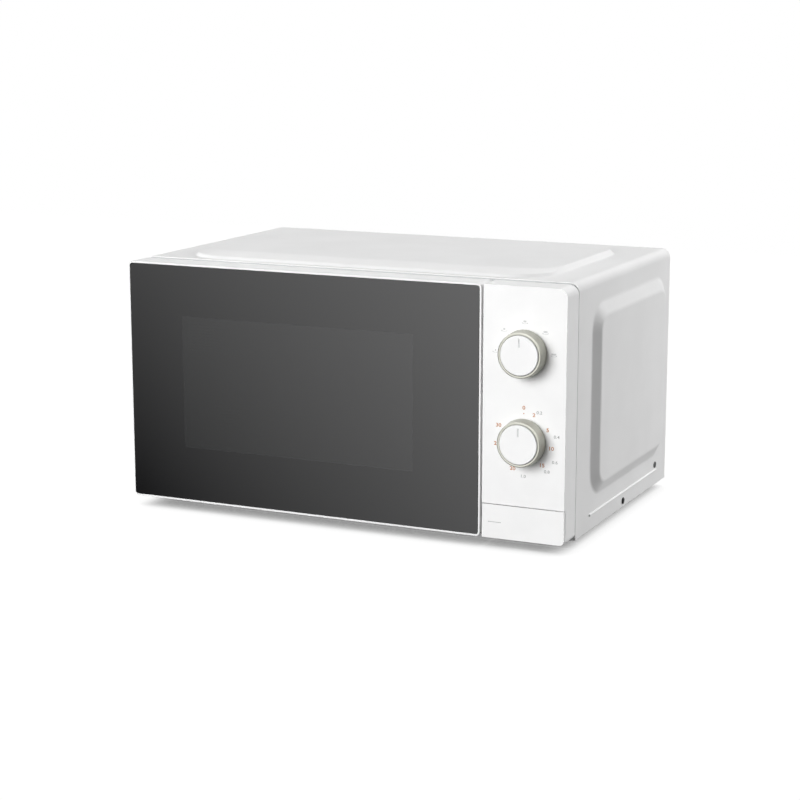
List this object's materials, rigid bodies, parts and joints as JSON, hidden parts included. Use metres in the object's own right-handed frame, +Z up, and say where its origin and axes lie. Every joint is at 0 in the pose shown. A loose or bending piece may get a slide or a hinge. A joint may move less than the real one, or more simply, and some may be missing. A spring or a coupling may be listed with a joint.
{
  "type": "microwave oven",
  "caption": "Countertop microwave oven with a left-hinged tinted glass door, two dials, an open button, an embossed cabinet and a turntable.",
  "frame": {"origin": "on the surface that the feet stand on, under the middle of the whole object's box", "axes": "+X to the right seen from the front, +Y from the front to the back, +Z up"},
  "size_m": [0.467, 0.328, 0.2525],
  "materials": {
    "white_paint": "smooth white powder coat, satin",
    "zinc_steel": "zinc-plated sheet",
    "cavity_paint": "light grey epoxy coat",
    "grey_rubber": "moulded rubber",
    "black_plastic": "matte black",
    "screw_steel": "zinc-plated screws",
    "white_plastic": "moulded white ABS, fine satin",
    "cream_plastic": "natural moulded plastic",
    "red_plastic": "moulded red",
    "aluminium": "bare metal",
    "copper": "bare copper",
    "mica": "pressed mica sheet",
    "core_steel": "varnished laminations",
    "enamelled_wire": "enamelled copper wire",
    "fan_plastic": "moulded grey",
    "lamp_glass": "clear bulb",
    "circuit_board": "board with parts",
    "lead_rubber": "insulated lead",
    "front_glass": "tinted glass, printed black behind",
    "screen_steel": "black coated sheet",
    "cover_plastic": "moulded white plastic",
    "window_film": "clear film",
    "spring_steel": "drawn wire and bar",
    "champagne_metal": "satin champagne plating",
    "tray_glass": "clear pressed glass",
    "ring_plastic": "natural moulded plastic"
  },
  "bodies": {
    "oven": {"outer_cabinet": "white_paint", "base_plate": "zinc_steel", "rear_plate": "zinc_steel", "oven_cavity": "cavity_paint", "front_frame": "zinc_steel", "feet": "grey_rubber", "rear_spacer": "black_plastic", "cabinet_screws": "screw_steel", "control_panel": "white_plastic", "timer_switch": "cream_plastic", "power_selector": "cream_plastic", "latch_body": "cream_plastic", "micro_switches": "black_plastic", "magnetron_body": "aluminium", "magnetron_antenna": "copper", "magnetron_filter_box": "zinc_steel", "waveguide": "zinc_steel", "waveguide_cover": "mica", "transformer_core": "core_steel", "transformer_primary": "enamelled_wire", "transformer_secondary": "enamelled_wire", "hv_capacitor": "aluminium", "capacitor_clamp": "zinc_steel", "hv_diode": "black_plastic", "fan_motor": "aluminium", "fan_duct": "black_plastic", "turntable_motor": "aluminium", "oven_lamp": "lamp_glass", "lamp_holder": "cream_plastic", "cavity_thermostat": "black_plastic", "filter_board": "circuit_board", "cord_bushing": "black_plastic", "upper_hinge": "zinc_steel", "lower_hinge": "zinc_steel", "high_voltage_lead": "lead_rubber", "button_spring": "spring_steel"},
    "door": {"door_frame": "white_plastic", "door_glass": "front_glass", "door_screen": "screen_steel", "door_choke": "screen_steel", "choke_cover": "cover_plastic", "inner_window": "window_film", "hook_spring": "spring_steel"},
    "hooks": {"door_hooks": "cream_plastic"},
    "open_button": {"open_button": "white_plastic"},
    "opener_lever": {"opener_lever": "cream_plastic"},
    "timer_knob": {"timer_skirt": "champagne_metal", "timer_cap": "white_plastic", "timer_shaft": "spring_steel"},
    "power_knob": {"power_skirt": "champagne_metal", "power_cap": "white_plastic", "power_shaft": "spring_steel"},
    "switch_plungers": {"switch_buttons": "red_plastic"},
    "turntable": {"glass_tray": "tray_glass", "turntable_coupler": "ring_plastic"},
    "roller_ring": {"roller_ring": "ring_plastic"},
    "roller_1": {"roller_1": "ring_plastic"},
    "roller_2": {"roller_2": "ring_plastic"},
    "roller_3": {"roller_3": "ring_plastic"},
    "fan": {"fan_blade": "fan_plastic"}
  },
  "joints": [
    {"name": "door_hinge", "type": "hinge", "parent": "oven", "child": "door", "pos_m": [-0.221, -0.1277, 0.12825], "axis": [0, 0, -1], "range_deg": [0, 100]},
    {"name": "hook_slide", "type": "slide", "parent": "door", "child": "hooks", "axis": [0, 0, -1], "range_m": [0, 0.003], "stiffness_N_per_m": 40, "springref_m": -0.004, "deforming": ["hook_spring"]},
    {"name": "button_pivot", "type": "hinge", "parent": "oven", "child": "open_button", "pos_m": [0.222, -0.1436, 0.027], "axis": [0, 0, -1], "range_deg": [0, 3], "stiffness_Nm_per_rad": 0.8, "springref_deg": -2.86, "deforming": ["button_spring"]},
    {"name": "lever_pivot", "type": "hinge", "parent": "oven", "child": "opener_lever", "pos_m": [0.155, -0.0767, 0.0645], "axis": [1, 0, 0], "range_deg": [0, 6.5]},
    {"name": "timer_knob_turn", "type": "hinge", "parent": "oven", "child": "timer_knob", "pos_m": [0.18725, -0.15, 0.1038], "axis": [0, 1, 0], "range_deg": [0, 320]},
    {"name": "power_knob_turn", "type": "hinge", "parent": "oven", "child": "power_knob", "pos_m": [0.18725, -0.15, 0.1854], "axis": [0, 1, 0], "range_deg": [-90, 90]},
    {"name": "switch_press", "type": "slide", "parent": "oven", "child": "switch_plungers", "axis": [0, 1, 0], "range_m": [0, 0.0008], "stiffness_N_per_m": 300, "springref_m": -0.002},
    {"name": "turntable_spin", "type": "hinge", "parent": "oven", "child": "turntable", "pos_m": [-0.046, 0.0103, 0.05], "axis": [0, 0, 1], "continuous": true},
    {"name": "roller_ring_spin", "type": "hinge", "parent": "oven", "child": "roller_ring", "pos_m": [-0.046, 0.0103, 0.0423], "axis": [0, 0, 1], "continuous": true},
    {"name": "roller_1_spin", "type": "hinge", "parent": "roller_ring", "child": "roller_1", "pos_m": [0.038, 0.0103, 0.0423], "axis": [1, 0, 0], "continuous": true},
    {"name": "roller_2_spin", "type": "hinge", "parent": "roller_ring", "child": "roller_2", "pos_m": [-0.088, 0.08305, 0.0423], "axis": [-0.5, 0.866, 0], "continuous": true},
    {"name": "roller_3_spin", "type": "hinge", "parent": "roller_ring", "child": "roller_3", "pos_m": [-0.088, -0.06245, 0.0423], "axis": [-0.5, -0.866, 0], "continuous": true},
    {"name": "fan_spin", "type": "hinge", "parent": "oven", "child": "fan", "pos_m": [0.1703, 0.12, 0.175], "axis": [0, 1, 0], "continuous": true}
  ],
  "couplings": [
    {"joint": "lever_pivot", "follows": "button_pivot", "ratio": 2.1},
    {"joint": "hook_slide", "follows": "button_pivot", "m_per_rad": 0.0572},
    {"joint": "roller_ring_spin", "follows": "turntable_spin", "ratio": 0.5},
    {"joint": "roller_1_spin", "follows": "turntable_spin", "ratio": -6},
    {"joint": "roller_2_spin", "follows": "turntable_spin", "ratio": -6},
    {"joint": "roller_3_spin", "follows": "turntable_spin", "ratio": -6}
  ]
}
